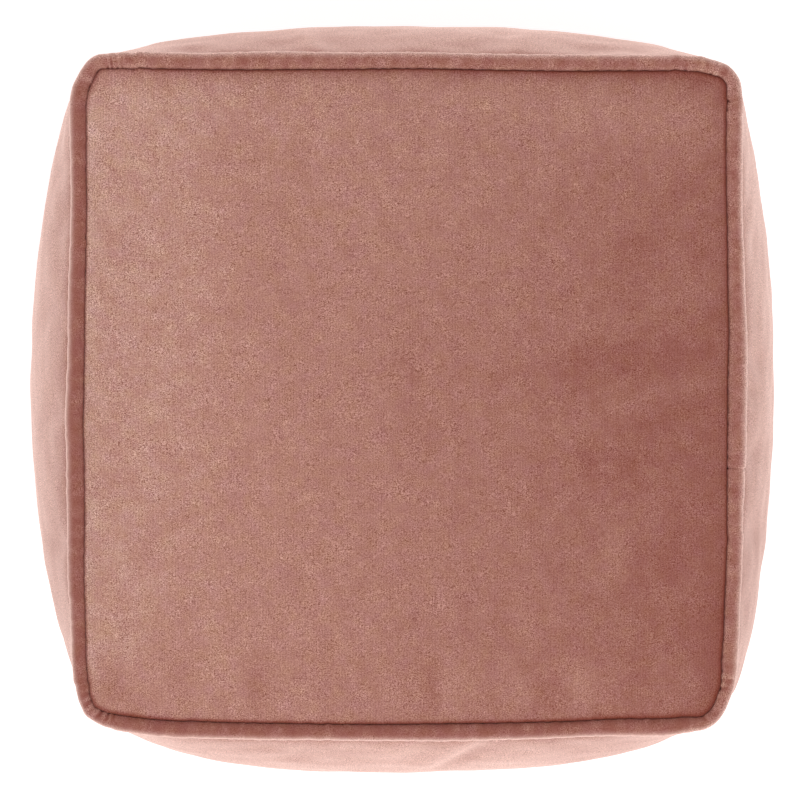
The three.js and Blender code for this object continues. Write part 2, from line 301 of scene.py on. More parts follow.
def wall_stations(fine, coarse, spread):
    """Distances along the seam for the side band. The belly's corners are rounder than the
    seam's, so what counts is the longest way round, not the seam's."""
    grid = np.linspace(0, ROUND_IT, 60001)
    steps = np.zeros(len(grid) - 1)
    for table, which in ((TOP_SEAM, "top"), (BELLY, "belly"), (BOTTOM_SEAM, "bottom")):
        steps = np.maximum(steps, np.linalg.norm(np.diff(outline(table, grid, which), axis=0), axis=1))
    walked = np.concatenate([[0], np.cumsum(steps)])
    near = np.full_like(grid, 1e9)
    for m in CORNERS:
        gap = np.abs(walked - np.interp(m, grid, walked))
        near = np.minimum(near, np.minimum(gap, walked[-1] - gap))
    density = 1 / (fine + (coarse - fine) * ease(near / spread))
    total = np.concatenate([[0], np.cumsum((density[1:] + density[:-1]) / 2 * steps)])
    n = int(round(total[-1]))
    return np.interp(np.arange(n) * total[-1] / n, total, grid)


def from_corners(plan, along):
    """Signed distance in mm round one contour of the wall from its nearest corner seam."""
    steps = np.linalg.norm(np.roll(plan, -1, axis=0) - plan, axis=1)
    walked = np.concatenate([[0], np.cumsum(steps)])
    result = np.full(len(along), 1e9)
    for m in CORNERS:
        mark = np.interp(m, np.append(along, ROUND_IT), walked)
        gap = np.mod(walked[:-1] - mark + walked[-1] / 2, walked[-1]) - walked[-1] / 2
        result = np.where(np.abs(gap) < np.abs(result), gap, result)
    return result


def corner_ness(along):
    a, b = on_line(along)
    return (a * b) ** 2


# ---------------------------------------------------------------- meshes
def mesh_object(name, points, faces, attributes=None):
    """points: (n, 3) in mm. faces: list of integer arrays, each (m, 3) or (m, 4)."""
    mesh = bpy.data.meshes.new(name)
    loops = np.concatenate([f.ravel() for f in faces])
    sizes = np.concatenate([np.full(len(f), f.shape[1]) for f in faces])
    starts = np.concatenate([[0], np.cumsum(sizes)[:-1]])
    mesh.vertices.add(len(points))
    mesh.vertices.foreach_set("co", (np.asarray(points) / 1000).astype(np.float32).ravel())
    mesh.loops.add(len(loops))
    mesh.loops.foreach_set("vertex_index", loops.astype(np.int32))
    mesh.polygons.add(len(sizes))
    mesh.polygons.foreach_set("loop_start", starts.astype(np.int32))
    mesh.update(calc_edges=True)
    mesh.validate()
    mesh.shade_smooth()
    for key, values in (attributes or {}).items():
        layer = mesh.attributes.new(key, "FLOAT", "POINT")
        layer.data.foreach_set("value", np.asarray(values, np.float32))
    o = bpy.data.objects.new(name, mesh)
    bpy.context.scene.collection.objects.link(o)
    return o


def loft(name, rings, first=None, last=None, attributes=None):
    """rings: (r, n, 3), from the middle of the top outwards, down, and back in underneath.
    first and last are the tips that close the ends; None wraps the rings round on themselves."""
    rings = np.asarray(rings, float)
    r, n = rings.shape[:2]
    points = rings.reshape(-1, 3)
    at = np.arange(r * n).reshape(r, n)
    nxt = np.roll(at, -1, axis=1)
    if first is None:
        low, low_next = np.roll(at, -1, axis=0), np.roll(nxt, -1, axis=0)
        faces = [np.stack([at, low, low_next, nxt], -1).reshape(-1, 4)]
    else:
        faces = [np.stack([at[:-1], at[1:], nxt[1:], nxt[:-1]], -1).reshape(-1, 4)]
        top, base = len(points), len(points) + 1
        points = np.concatenate([points, [first, last]])
        faces.append(np.stack([np.full(n, top), at[0], nxt[0]], -1))
        faces.append(np.stack([np.full(n, base), nxt[-1], at[-1]], -1))
    return mesh_object(name, points, faces, attributes)


def levels(rings, values):
    """One value for each vertex of a loft with tips, from one array for each ring."""
    flat = np.concatenate([np.broadcast_to(v, rings.shape[1]) for v in values])
    return np.concatenate([flat, [np.mean(values[0]), np.mean(values[-1])]])


def with_height(plan, z):
    return np.concatenate([plan, np.broadcast_to(z, len(plan))[:, None]], 1)


def rounder(plan, share):
    """Contours of a stuffed panel: the seam's outline at the edge, rounder further in."""
    circle = plan / np.linalg.norm(plan, axis=1)[:, None] * ROUND_R
    k = share**ROUNDING
    return (circle * (1 - k) + plan * k) * share


# ---------------------------------------------------------------- top seam
def seam_shift(along, seed=3):
    """How far the stitched line wanders from its outline, outwards, in mm."""
    return humps(along, DRIFTS, CORNER_DRIFTS) + 0.09 * ripple(along, ROUND_IT, 5, 22, seed)


def seam_height(along):
    return -CORNER_DROP * corner_ness(along) + 0.4 * ripple(along, ROUND_IT, 90, 300, 21)


def top_seam(along):
    return outline(TOP_SEAM, along, "top") + normals(TOP_SEAM, along, "top", 2.0) * seam_shift(along)[:, None]


def bottom_seam(along):
    return outline(BOTTOM_SEAM, along, "bottom")


# ---------------------------------------------------------------- top panel
# Soft marks of the pile on the top: place, half length, half width, turn in degrees, lighter (+)
NAP_MARKS = [
    # x, y, half length, half width, turn, amount
    (160, 190, 110, 26, -6, 0.34),
    (130, 22, 62, 13, 6, -0.26),
    (128, -42, 34, 14, 4, -0.18),
    (176, -12, 34, 5, 18, -0.16),
    (178, 6, 34, 5, 12, 0.16),
    (193, 72, 20, 12, 10, 0.16),
    (146, 100, 22, 18, 30, -0.12),
    (175, -116, 34, 7, 37, -0.16),
    (138, -106, 30, 14, 48, 0.14),
    (168, -128, 30, 7, 38, 0.10),
    (121, -194, 11, 18, 0, 0.40),
    (100, -196, 9, 14, 0, -0.18),
    (76, -196, 9, 16, 0, 0.30),
    (29, -194, 5, 18, 0, 0.16),
    (206, -170, 9, 50, 0, -0.25),
    (38, -196, 10, 16, -10, 0.20),
    (186, -190, 20, 14, 20, 0.20),
    (20, -190, 6, 18, 0, -0.24),
    (-96, -190, 7, 18, 0, -0.38),
    (-115, -187, 8, 16, 0, 0.12),
    (-152, -190, 18, 24, 0, -0.24),
    (-154, -168, 10, 10, 0, -0.12),
    (-190, -198, 20, 13, -50, -0.55),
    (-160, -190, 9, 22, 35, 0.12),
    (-186, -104, 30, 8, -52, 0.10),
    (-88, 120, 30, 92, 8, -0.12),
    (12, 12, 22, 50, 6, -0.12),
    (-160, -10, 26, 90, 0, 0.06),
    (-120, 196, 120, 24, 0, 0.10),
    (35, 140, 125, 85, 0, 0.11),
    (-150, 60, 60, 110, 0, 0.07),
    (190, -100, 60, 120, 0, -0.07),
    (-100, -195, 130, 40, 0, -0.06),
]


def top_nap_light_shade(x, y, along, d):
    # partly painted light and sheen, partly the pile's lie: the panel is lighter towards the left and towards the
    # back
    base = 0.62 - x / 400 + 0.10 * np.clip((y - 60) / 150, 0, 1)
    for mx, my, length, width, turn, amount in NAP_MARKS:
        c, s = math.cos(math.radians(turn)), math.sin(math.radians(turn))
        p, q = (x - mx) * c + (y - my) * s, -(x - mx) * s + (y - my) * c
        base = base + amount * np.exp(-((p / length) ** 2) - (q / width) ** 2)
    spots = np.stack([x, y * 0.8], -1)
    base = base + 0.04 * field(spots, 22, 60, 71) + 0.04 * field(spots, 9, 20, 72)
    # painted light and shade where the panel rolls down into the seam: darker along the back, right and front
    # edges and near the front of the right side, lighter along the left edge
    a, b = on_line(along)
    back, right = ease((b - 0.86) * 9), ease((a - 0.86) * 9)
    left, front = ease((-a - 0.86) * 9), ease((-b - 0.86) * 9)
    base = base - back * (0.75 * math.exp(-d / 4.0) + 0.25 * math.exp(-d / 5.0))
    base = base + 0.45 * left * math.exp(-d / 3.5) - 0.15 * right * (1 - back) * math.exp(-d / 2.0)
    base = base - 0.5 * humps(along, [("right", -165, 38, 1.0)]) * bell(d, 3.2)
    base = base - (1.0 - 0.5 * right) * front * bell(d, 1.9)
    # painted shade: a dark line right along the seam, left out at two corners where the piping's pile lies over
    # the stitching
    hidden = humps(along, [("back", -194, 15, 0.8), ("back", 196, 22, 0.5)])
    return base - (1 - hidden) * (1.25 - 0.35 * left) * math.exp(-((d / 1.15) ** 2))


def build_top_panel():
    along = stations(0.9, 1.9, 26, CORNERS + [0.0])
    seam = top_seam(along)
    out = normals(TOP_SEAM, along, "top")
    drop = seam_height(along)
    inward = [0, 0.3, 0.7, 1.2, 1.9, 2.8, 4.0, 5.5, 7.2, 9.2, 11.6, 14.5] + list(np.arange(18, 212, 4.6))
    pucker = ripple(along, ROUND_IT, 9, 30, 31)
    broad = ripple(along, ROUND_IT, 45, 140, 32)
    rings, nap_light_shade, pale = [], [], []

    def surface(d, offset, turn):
        u = 1 - d / HALF
        plan = rounder(seam, u)
        z = drop * u * u + (CROWN - 3) * (1 - u**2.2) + 3.0 * (1 - math.exp(-d / 4.0))
        z = z + 0.9 * math.exp(-((d / 1.6) ** 2)) + 0.12 * pucker * math.exp(-d / 6) * (1 - math.exp(-d / 1.5))
        z = z + 0.4 * broad * math.exp(-d / 26) * (1 - math.exp(-d / 4))
        z = z + 0.5 * field(plan, 70, 170, 33, 24) * ease(d / 30)
        # the very edge is turned down and caught against the piping
        turned = math.exp(-d / 0.55)
        plan = plan + out * (0.30 if offset > 0 else 0.05) * turned
        rings.append(with_height(plan, z + offset - turn * turned))
        nap_light_shade.append(top_nap_light_shade(plan[:, 0], plan[:, 1], along, d))
        pale.append(1 - math.exp(-d / 1.2))

    for d in reversed(inward):
        surface(d, SHEET / 2, 1.0)
    for d in (0.0, 1.5, 4, 9, 18, 33, 57, 90, 132, 182):
        surface(d, -SHEET / 2, 0.4)
    rings = np.array(rings)
    rings[..., 2] += TOP_SEAM_Z
    top = [0, 0, rings[0, :, 2].mean() + 0.02]
    low = [0, 0, rings[-1, :, 2].mean() + 0.6]
    return loft("top_panel_velvet", rings, top, low, {"nap_light_shade": levels(rings, nap_light_shade), "pale": levels(rings, pale)})


# ---------------------------------------------------------------- piping
# Small folds across the piping where it turns a corner.
TUCKS = [
    # corner, mm from its middle (anticlockwise), depth, width, skew in mm over the cord, middle angle
    ("back", -4.5, 0.6, 0.8, 1.0, 160),
    ("back", -8.0, 1.1, 0.8, 0.4, 115),
    ("back", -12.0, 0.7, 0.8, 0.5, 160),
    ("back", -15.5, 0.5, 0.8, 0.5, 165),
    ("back", 12.0, 0.4, 1.4, 1.0, 140),
    ("right", -13.0, 0.8, 0.9, 0.4, 160),
    ("right", -19.0, 0.4, 0.9, 0.4, 165),
    ("right", 9.0, 0.5, 0.9, -0.6, 160),
    ("right", 26.0, 0.9, 0.9, -0.8, 160),
    ("left", -3.0, 0.7, 0.9, 1.2, 120),
    ("left", 4.5, 1.0, 0.8, -0.9, 122),
    ("left", 9.0, 0.9, 0.8, -0.9, 122),
    ("left", 13.0, 0.6, 0.8, -0.6, 130),
    ("front", -4.5, 0.35, 1.7, 0.8, 110),
    ("front", -9.0, 0.6, 1.1, 0.8, 130),
    ("front", 5.0, 0.8, 0.9, 1.0, 150),
    ("front", 15.0, 0.4, 1.2, -0.8, 150),
]


def tucks(along, f):
    """How deep the small folds lie at one angle round the cord, and the swell beside them."""
    deep, swell = np.zeros_like(along), np.zeros_like(along)
    for corner, mm, depth, half, skew, middle in TUCKS:
        side = depth * math.exp(-((((math.degrees(f) - middle + 180) % 360 - 180) / 62) ** 2))
        d = from_mark(along, CORNER_AT[corner] + mm) - skew * math.cos(f)
        deep += side * bell(d, half)
        swell += side * (bell(d - 2.2, 1.3) + bell(d + 2.2, 1.3))
    return deep, swell


def build_piping(table, which, seam_line, height, z0, seed, lively):
    along = stations(0.55, 1.9, 32, CORNERS + [0.0])
    turn_steps = 26
    phi = np.linspace(0, 2 * math.pi, turn_steps, endpoint=False)  # 0 out, 90 up, 180 in
    out = normals(table, along, which, 1.5)
    line = seam_line(along)
    fine = ripple(along, ROUND_IT, 9, 24, seed + 1)
    slow = ripple(along, ROUND_IT, 60, 200, seed + 2)
    z = z0 + height(along) + 0.15 * ripple(along, ROUND_IT, 50, 180, seed + 3)
    width = piping_width(along) * lively
    # the join: the end above it is folded over the end below it
    gone = from_mark(along, 0.0)
    width = width + np.where(gone < 0, -0.6 * np.exp(gone / 9), 0)
    radius = PIPING_R + width / 2 + 0.035 * fine + 0.07 * slow
    offset = radius + 0.12
    radius = radius - 1.0 * bell(gone + 0.2, 0.42)
    rings = []
    for i, f in enumerate(phi):
        r = radius.copy()
        inner = max(0.0, math.cos(f - math.pi)) ** 1.5
        r = r + inner * 0.09 * ripple(along, ROUND_IT, 6, 16, seed + 4)
        r = r + 0.035 * ripple(along + 1.2 * math.cos(f), ROUND_IT, 5, 14, seed + 5 + i % 3)
        if which == "top":
            deep, swell = tucks(along, f)
            r = r - deep + 0.3 * swell
        plan = line + out * (offset + r * math.cos(f))[:, None]
        rings.append(with_height(plan, 0) + np.stack([0 * z, 0 * z, z + r * math.sin(f)], 1))
    return along, phi, np.array(rings)


def piping_nap_light_shade(along, phi, which, seed):
    """The strip is darker on the left and the front and lighter round the corners. Painted shade darkens its
    inner side down in the seam and in the tucks at the corners, and painted light lightens the swell beside each
    tuck, its inner half on the back and the right, less on the left, and its outer half on the right and the
    back; its outer half is darker on the left. Its outer side shows the pale tips, a sheen whose strength changes
    from side to side."""
    n = normals(TOP_SEAM, along, "top", 6.0)
    tone = 0.16 + 0.14 * n[:, 0] + 0.14 * n[:, 1] + 0.05 * ripple(along, ROUND_IT, 12, 60, seed)
    for m in CORNERS:
        tone = tone + bell(from_mark(along, m), 18) * (0.22 + 0.18 * ripple(along, ROUND_IT, 4, 14, seed + 1))
    # painted light: the inner half is lighter on the back and the right, less on the left, and at the two back
    # corners
    turned = 0.36 * np.clip(n[:, 0] + n[:, 1], 0, 1) + 0.16 * np.clip(-n[:, 0], 0, 1)
    turned = turned + humps(along, [("back", -194, 18, 0.3), ("back", 200, 26, 0.25)])
    # how strong the pale sheen is: weaker on the back, stronger on part of the right
    tips = 1.0 - 0.15 * np.clip(n[:, 1], 0, 1) + 0.12 * humps(along, [("right", 130, 60, 1.0)])
    # painted light: the outer half is lighter on the right and the back, darker on the left
    outer_light = 0.22 * np.clip(n[:, 0], 0, 1) + 0.28 * np.clip(n[:, 1], 0, 1) - 0.2 * np.clip(-n[:, 0], 0, 1)
    nap_light_shade, pale = [], []
    for f in phi:
        inner = max(0.0, -math.cos(f))
        around = np.stack([along, np.full_like(along, PIPING_R * f)], 1)
        mottle = 0.07 * field(around, 3.5, 9, seed + 2, 40) + 0.09 * field(around + [0, 40], 10, 26, seed + 3, 30)
        lie_and_shade = tone + mottle + outer_light * float(ease((math.cos(f) - 0.1) / 0.5))
        lie_and_shade = lie_and_shade + turned * float(bell(inner - 0.72, 0.20))
        # painted shade down in the seam
        lie_and_shade = lie_and_shade - (0.35 - 0.2 * np.abs(n[:, 1])) * float(ease((inner - 0.86) / 0.12))
        if which == "top":
            deep, swell = tucks(along, f)
            # painted shade in the tucks and painted light on the swell beside them
            lie_and_shade = lie_and_shade - 0.9 * deep + 0.2 * swell
        nap_light_shade.append(lie_and_shade)
        pale.append(tips * float(ease((math.cos(f) + 0.15) / 0.4)))
    return np.array(nap_light_shade), np.array(pale)


def piping_object(name, table, which, seam_line, height, z0, seed, lively=1.0):
    along, phi, rings = build_piping(table, which, seam_line, height, z0, seed, lively)
    nap_light_shade, pale = piping_nap_light_shade(along, phi, which, seed + 9)
    return loft(name, rings[::-1], attributes={"nap_light_shade": nap_light_shade[::-1].reshape(-1), "pale": pale[::-1].reshape(-1)})


# ---------------------------------------------------------------- side band
# Soft buckles. along: mm from the middle of the side, to the right or the back. Positive depth
# pulls in, negative stands out.
BUCKLES = [
    # side, along, height, half length along, half height, slant from upright, depth
    ("back", -65, 316, 7, 60, 10, -1.6),
    ("back", -46, 322, 11, 42, 8, 2.3),
    ("back", -84, 338, 11, 28, 0, 1.7),
    ("back", -110, 330, 9, 36, 4, -0.9),
    ("back", -143, 346, 12, 17, 0, 1.7),
    ("back", -14, 330, 16, 26, 0, 1.0),
    ("back", 12, 318, 12, 50, 6, -0.8),
    ("back", 43, 347, 14, 16, 0, 1.5),
    ("back", 66, 312, 9, 34, -10, 1.4),
    ("back", 82, 316, 7, 44, -10, -1.2),
    ("back", 125, 338, 20, 25, 0, 2.2),
    ("back", 158, 340, 12, 18, 0, 1.2),
    ("back", 40, 100, 60, 34, 0, 3.4),
    ("back", -90, 70, 34, 40, 20, 2.2),
    ("front", 24, 318, 9, 60, 16, -1.1),
    ("front", 43, 318, 8, 54, 20, 2.1),
    ("front", 55, 332, 9, 26, 18, 1.2),
    ("front", -87, 345, 8, 14, 0, 1.0),
    ("front", -70, 322, 9, 34, 4, 0.9),
    ("front", -37, 326, 10, 30, 0, 1.5),
    ("front", -4, 330, 9, 30, 10, -0.7),
    ("front", 120, 322, 9, 24, 0, 0.9),
    ("front", 150, 330, 12, 24, -6, 0.8),
    ("front", -50, 95, 60, 34, 0, 3.4),
    ("front", 80, 60, 34, 38, -20, 2.2),
    ("left", 153, 328, 9, 42, 0, 1.8),
    ("left", 133, 320, 9, 40, 0, -0.7),
    ("left", 113, 334, 10, 30, 2, 2.0),
    ("left", 84, 322, 12, 40, 0, -0.8),
    ("left", 56, 320, 8, 48, 4, 1.9),
    ("left", 20, 318, 13, 46, 0, -0.9),
    ("left", -15, 316, 9, 52, 4, 2.3),
    ("left", -58, 320, 14, 44, 0, -0.8),
    ("left", -98, 323, 9, 32, 0, 2.0),
    ("left", -140, 330, 14, 26, 0, 0.8),
    ("left", 70, 95, 60, 34, 0, 3.4),
    ("left", -80, 64, 34, 38, 18, 2.2),
    ("right", 104, 322, 12, 34, 4, 1.1),
    ("right", 64, 320, 12, 40, 0, -0.8),
    ("right", 25, 322, 7, 44, 4, 2.2),
    ("right", 5, 348, 8, 15, 0, 1.1),
    ("right", -12, 312, 9, 40, 0, -0.8),
    ("right", -37, 332, 10, 32, 0, 2.0),
    ("right", -64, 320, 10, 40, 0, -0.9),
    ("right", -95, 326, 13, 40, -2, 2.4),
    ("right", -138, 334, 12, 22, 8, 1.1),
    ("right", 55, 95, 60, 34, 0, 3.4),
    ("right", -90, 70, 34, 40, 20, 2.2),
]


def buckles(a, b, x, y, z):
    side = np.where(np.abs(a) > np.abs(b), np.where(a > 0, 0, 2), np.where(b > 0, 1, 3))
    depth = np.zeros_like(x)
    for row in BUCKLES:
        name, at, height, half, rise, slant, amount = row
        i = SIDES.index(name)
        t = np.radians(slant)
        p = (y if name in ("right", "left") else x) - at
        q = z - height
        across, up = p * np.cos(t) - q * np.sin(t), p * np.sin(t) + q * np.cos(t)
        depth += np.where(side == i, amount * np.exp(-((across / half) ** 2) - (up / rise) ** 2), 0)
    return depth


WRAP = [(0.0, 1.6), (0.5, 2.6), (1.2, 3.7), (2.1, 4.6), (3.2, 5.3), (4.4, 5.75), (5.6, 5.9)]


def wall_parts(along):
    """What the wall of the side band is drawn from at each place round it."""
    belly_out = normals(BELLY, along, "belly", 3.0)
    return {
        "top": top_seam(along),
        "top_out": normals(TOP_SEAM, along, "top", 1.5),
        "bottom": bottom_seam(along),
        "bottom_out": normals(BOTTOM_SEAM, along, "bottom"),
        "belly": outline(BELLY, along, "belly") + belly_out * humps(along, BELLY_DRIFTS)[:, None],
        "belly_out": belly_out,
        "drop": seam_height(along),
        "grow": 1 + piping_width(along) / 2 / PIPING_R,
    }


def wall(parts, v):
    """The wall's plain contour at a share v of its height, and how far it is from each piping."""
    low = BOTTOM_SEAM_Z + WRAP[-1][1]
    high = TOP_SEAM_Z + parts["drop"] - WRAP[-1][1] * parts["grow"]
    span = high - low
    q = math.log(0.5) / math.log(BELLY_AT)
    full = 1 - abs(2 * v**q - 1) ** BELLY_FULLNESS
    if v > BELLY_AT:
        start = parts["top"] + parts["top_out"] * (WRAP[-1][0] * parts["grow"])[:, None]
    else:
        start = parts["bottom"] + parts["bottom_out"] * WRAP[-1][0]
    s_top, s_low = (1 - v) * span, v * span
    # the shoulder: the band leaves each piping level before it turns to the side
    shoulder = SHOULDER * (1 - np.exp(-s_top / 6)) * np.exp(-s_top / 45)
    shoulder += SHOULDER * (1 - np.exp(-s_low / 6)) * np.exp(-s_low / 45)
    plan = start * (1 - full) + parts["belly"] * full + parts["belly_out"] * shoulder[:, None]
    return plan, low + span * v, s_top, s_low


# The four side panels settle as cloth, held at their seams: a little longer than the seams they
# are sewn into, and pressed outwards by the filling. Only their folds are kept from it, because
# the swelling is already in the outlines above.
CLOTH_CELL, CLOTH_UP = 5.6, 56
CLOTH_FRAMES = 20
CLOTH_EASE = 0.010
CLOTH_PRESSURE = 4.0
FOLD_LIMIT = 3.0


def smoothed(values, sigma, axis, closed):
    reach_of = int(math.ceil(3 * sigma))
    kernel = bell(np.arange(-reach_of, reach_of + 1), sigma * math.sqrt(2))
    kernel /= kernel.sum()
    pad = [(0, 0), (0, 0)]
    pad[axis] = (reach_of, reach_of)
    padded = np.pad(values, pad, mode="wrap" if closed else "edge")
    total = np.zeros_like(values)
    for i, k in enumerate(kernel):
        total += k * np.take(padded, np.arange(i, i + values.shape[axis]), axis=axis)
    return total


def settled_folds():
    """How far each place of the wall folds out (+) or in (-), in mm, down the wall and round it,
    with the places round it."""
    along = wall_stations(CLOTH_CELL, CLOTH_CELL, 1.0)
    heights = np.linspace(0.999, 0.001, CLOTH_UP)
    parts = wall_parts(along)
    rings = []
    for v in heights:
        plan, z, _, _ = wall(parts, v)
        rings.append(with_height(plan, z))
    rings = np.array(rings)
    shape = rings.shape[:2]
    cloth = loft("settling", rings, [0, 0, rings[0, :, 2].mean()], [0, 0, rings[-1, :, 2].mean()])
    at = np.arange(shape[0] * shape[1]).reshape(shape)
    columns = [int(np.argmin(np.abs(from_mark(along, c)))) for c in CORNERS]
    held = np.concatenate([at[0], at[-1], at[:, columns].ravel(), [at.size, at.size + 1]])
    cloth.vertex_groups.new(name="held").add([int(i) for i in held], 1.0, "REPLACE")
    settle = cloth.modifiers.new("settle", "CLOTH")
    settings = settle.settings
    settings.quality = 5
    settings.mass = 0.3
    settings.tension_stiffness = settings.compression_stiffness = 15
    settings.shear_stiffness = 5
    settings.bending_stiffness = 10
    settings.vertex_group_mass = "held"
    settings.use_pressure = True
    settings.uniform_pressure_force = CLOTH_PRESSURE
    settings.shrink_min = -CLOTH_EASE
    settings.effector_weights.gravity = 0
    settle.collision_settings.use_collision = False
    settle.point_cache.frame_start, settle.point_cache.frame_end = 1, CLOTH_FRAMES
    began = bpy.context.scene.frame_current
    for step in range(1, CLOTH_FRAMES + 1):
        bpy.context.scene.frame_set(step)
    seen = cloth.evaluated_get(bpy.context.evaluated_depsgraph_get())
    points = np.empty(len(seen.data.vertices) * 3, np.float32)
    seen.data.vertices.foreach_get("co", points)
    moved = points.reshape(-1, 3)[: at.size].reshape(*shape, 3) * 1000.0 - rings
    bpy.context.scene.frame_set(began)
    mesh = cloth.data
    bpy.data.objects.remove(cloth)
    bpy.data.meshes.remove(mesh)
    outward = (moved[..., :2] * parts["belly_out"][None]).sum(-1)
    # keep the folds that cross each seam, and leave the swelling
    round_step, up_step = CLOTH_CELL, 351.0 / shape[0]
    across_top = outward - smoothed(outward, 17 / round_step, 1, True)
    across_side = outward - smoothed(outward, 17 / up_step, 0, False)
    cells = np.arange(shape[1])
    near = [np.abs(np.mod(cells - c + shape[1] // 2, shape[1]) - shape[1] // 2) for c in columns]
    near = np.min(near, axis=0) * CLOTH_CELL
    by_corner = bell(near, 52)[None] * ease((0.5 - np.abs(heights - 0.5)) / 0.07)[:, None]
    clear = (1 - bell(near, 34))[None]
    folds = by_corner * across_side + (1 - by_corner) * clear * across_top
    return np.clip(folds, -FOLD_LIMIT, FOLD_LIMIT), along


def read_folds(folds, folds_along, along, v):
    """The folds read smoothly at places along and at one height."""
    rows, columns = folds.shape
    row = (0.999 - v) / 0.998 * (rows - 1)
    down = bell(np.arange(rows) - row, 0.85)
    line = down @ folds / down.sum()
    cell = np.interp(along, np.append(folds_along, ROUND_IT), np.arange(columns + 1))
    first = np.floor(cell).astype(int)
    total, weight = np.zeros_like(along), np.zeros_like(along)
    for k in range(-2, 4):
        near = bell(cell - first - k, 0.85)
        total, weight = total + near * line[(first + k) % columns], weight + near
    return total / weight


def build_side_band():
    folds, folds_along = settled_folds()
    along = wall_stations(0.6, 3.4, 26)
    a, b = on_line(along, "belly")
    n = len(along)
    parts = wall_parts(along)
    top, top_out, bottom, bottom_out = (parts[k] for k in ("top", "top_out", "bottom", "bottom_out"))
    belly_out, drop, grow = parts["belly_out"], parts["drop"], parts["grow"]
    rings, crease_shade, shade_and_light = [], [], []
    under = SHEET / 2 + 0.3
    for u in (0.25, 0.5, 0.72, 0.88, 0.97):
        rings.append(with_height(rounder(top, u), TOP_SEAM_Z + CROWN * (1 - u**2.2) + drop * u * u - under - 1.2))
    for out, down in WRAP:
        rings.append(with_height(top + top_out * (out * grow)[:, None], TOP_SEAM_Z + drop - down * grow))
    crease_shade += [np.ones(n)] * len(rings)
    shade_and_light += [np.zeros(n)] * len(rings)

    pucker_top = ripple(along, ROUND_IT, 16, 46, 41)
    pucker_low = ripple(along, ROUND_IT, 18, 60, 42)
    fine_top = ripple(along, ROUND_IT, 9, 20, 43)
    steps = [0.002, 0.006, 0.011, 0.017, 0.024]
    steps = np.concatenate([steps, np.linspace(0.032, 0.968, 106), [0.976, 0.983, 0.989, 0.994, 0.998]])
    for down in steps:
        v = 1 - down
        plan, z, s_top, s_low = wall(parts, v)
        pulled = buckles(a, b, plan[:, 0], plan[:, 1], z)
        # the top edge is pulled tighter than the rest, so it folds less
        crease = read_folds(folds, folds_along, along, v) * (0.4 + 0.6 * ease((s_top - 50) / 70))
        # painted shade just below the piping, stronger on the back; painted shade and light on the buckles and
        # folds
        shade_below_piping = (0.19 + 0.17 * np.clip(top_out[:, 1], 0, 1)) * np.exp(-s_top / 11)
        darker = 0.17 - 0.13 * ease((s_top - 70) / 70)
        shade_and_light.append(darker * pulled - 0.10 * crease + shade_below_piping)
        d = crease - pulled
        d = d + 0.4 * pucker_top * np.exp(-s_top / 20) * (1 - np.exp(-s_top / 4))
        d = d + 0.2 * fine_top * np.exp(-s_top / 9) * (1 - np.exp(-s_top / 3))
        d = d + 0.4 * pucker_low * np.exp(-s_low / 26) * (1 - np.exp(-s_low / 4))
        solid = with_height(plan, z)
        d = d + 0.4 * field(solid, 80, 190, 44, 26) * np.sin(math.pi * v) ** 0.5
        d = d + 0.2 * field(solid, 26, 60, 45, 26) * np.sin(math.pi * v) ** 0.5
        # upright corner seams: a stitched groove in a soft draw-in, with small gathers
        from_seam = from_corners(plan, along)
        held = math.sin(math.pi * v) ** 0.4
        wave = 0.5 * math.sin(z.mean() / 9.0) + 0.5 * math.sin(z.mean() / 5.3 + 1.0)
        d = d - held * (1.0 + 0.25 * wave) * bell(from_seam, 7.0) - held * 1.25 * bell(from_seam, 1.3)
        d = d + held * 0.30 * bell(np.abs(from_seam) - 3.6, 2.2)
        rings.append(with_height(plan + belly_out * d[:, None], z))
        # painted shade down at the top and bottom seams and in the upright corner grooves
        crease_shade.append(np.maximum(np.exp(-s_top / 1.5) + np.exp(-s_low / 1.5), 0.8 * held * bell(from_seam, 1.2)))
    for out, down in reversed(WRAP):
        rings.append(with_height(bottom + bottom_out * out, BOTTOM_SEAM_Z + down))
    for u in (0.955, 0.9, BASE_FLAT, 0.5):
        rings.append(with_height(bottom * u, base_height(u) + SHEET + 0.3))
    crease_shade += [np.ones(n)] * (len(rings) - len(crease_shade))
    shade_and_light += [np.zeros(n)] * (len(rings) - len(shade_and_light))
    rings = np.array(rings)
    # painted shade: darker down in the seams and corner grooves, in the buckles' dips, where the cloth folds in
    # and just below the piping; painted light where buckles and folds stand out; no pale sheen down in the seams
    # and grooves
    nap_light_shade = [band_nap(ring, along) - 1.1 * deep - low for ring, deep, low in zip(rings, crease_shade, shade_and_light)]
    sheen_by_place = 1 + 0.6 * humps(along, BAND_TONE)
    pale = [(1 - deep) * sheen_by_place for deep in crease_shade]
    first = [0, 0, TOP_SEAM_Z + CROWN - under - 1.2]
    last = [0, 0, SHEET + 0.3]
    return loft(
        "side_band_velvet", rings, first, last, {"nap_light_shade": levels(rings, nap_light_shade), "pale": levels(rings, pale)}
    )


# Broad parts of the sides that are paler or darker: side, mm along, half length, amount
BAND_TONE = [
    ("right", 140, 70, 0.16),
    ("right", 20, 70, 0.16),
    ("right", -140, 60, -0.14),
    ("left", 30, 90, 0.12),
    ("left", -140, 50, -0.12),
    ("back", -140, 60, -0.30),
    ("back", -30, 45, -0.16),
    ("front", 20, 110, 0.18),
    ("front", 140, 50, -0.25),
]


def band_nap(ring, along):
    lie_and_shade = 0.50 + humps(along, BAND_TONE)
    return lie_and_shade + 0.06 * field(ring * [1, 1, 0.6], 30, 90, 61, 24) + 0.04 * field(ring, 12, 26, 62, 24)


def base_height(u):
    if u <= BASE_FLAT:
        return 0.0
    return (BOTTOM_SEAM_Z - SHEET / 2) * ((u - BASE_FLAT) / (1 - BASE_FLAT)) ** 1.8


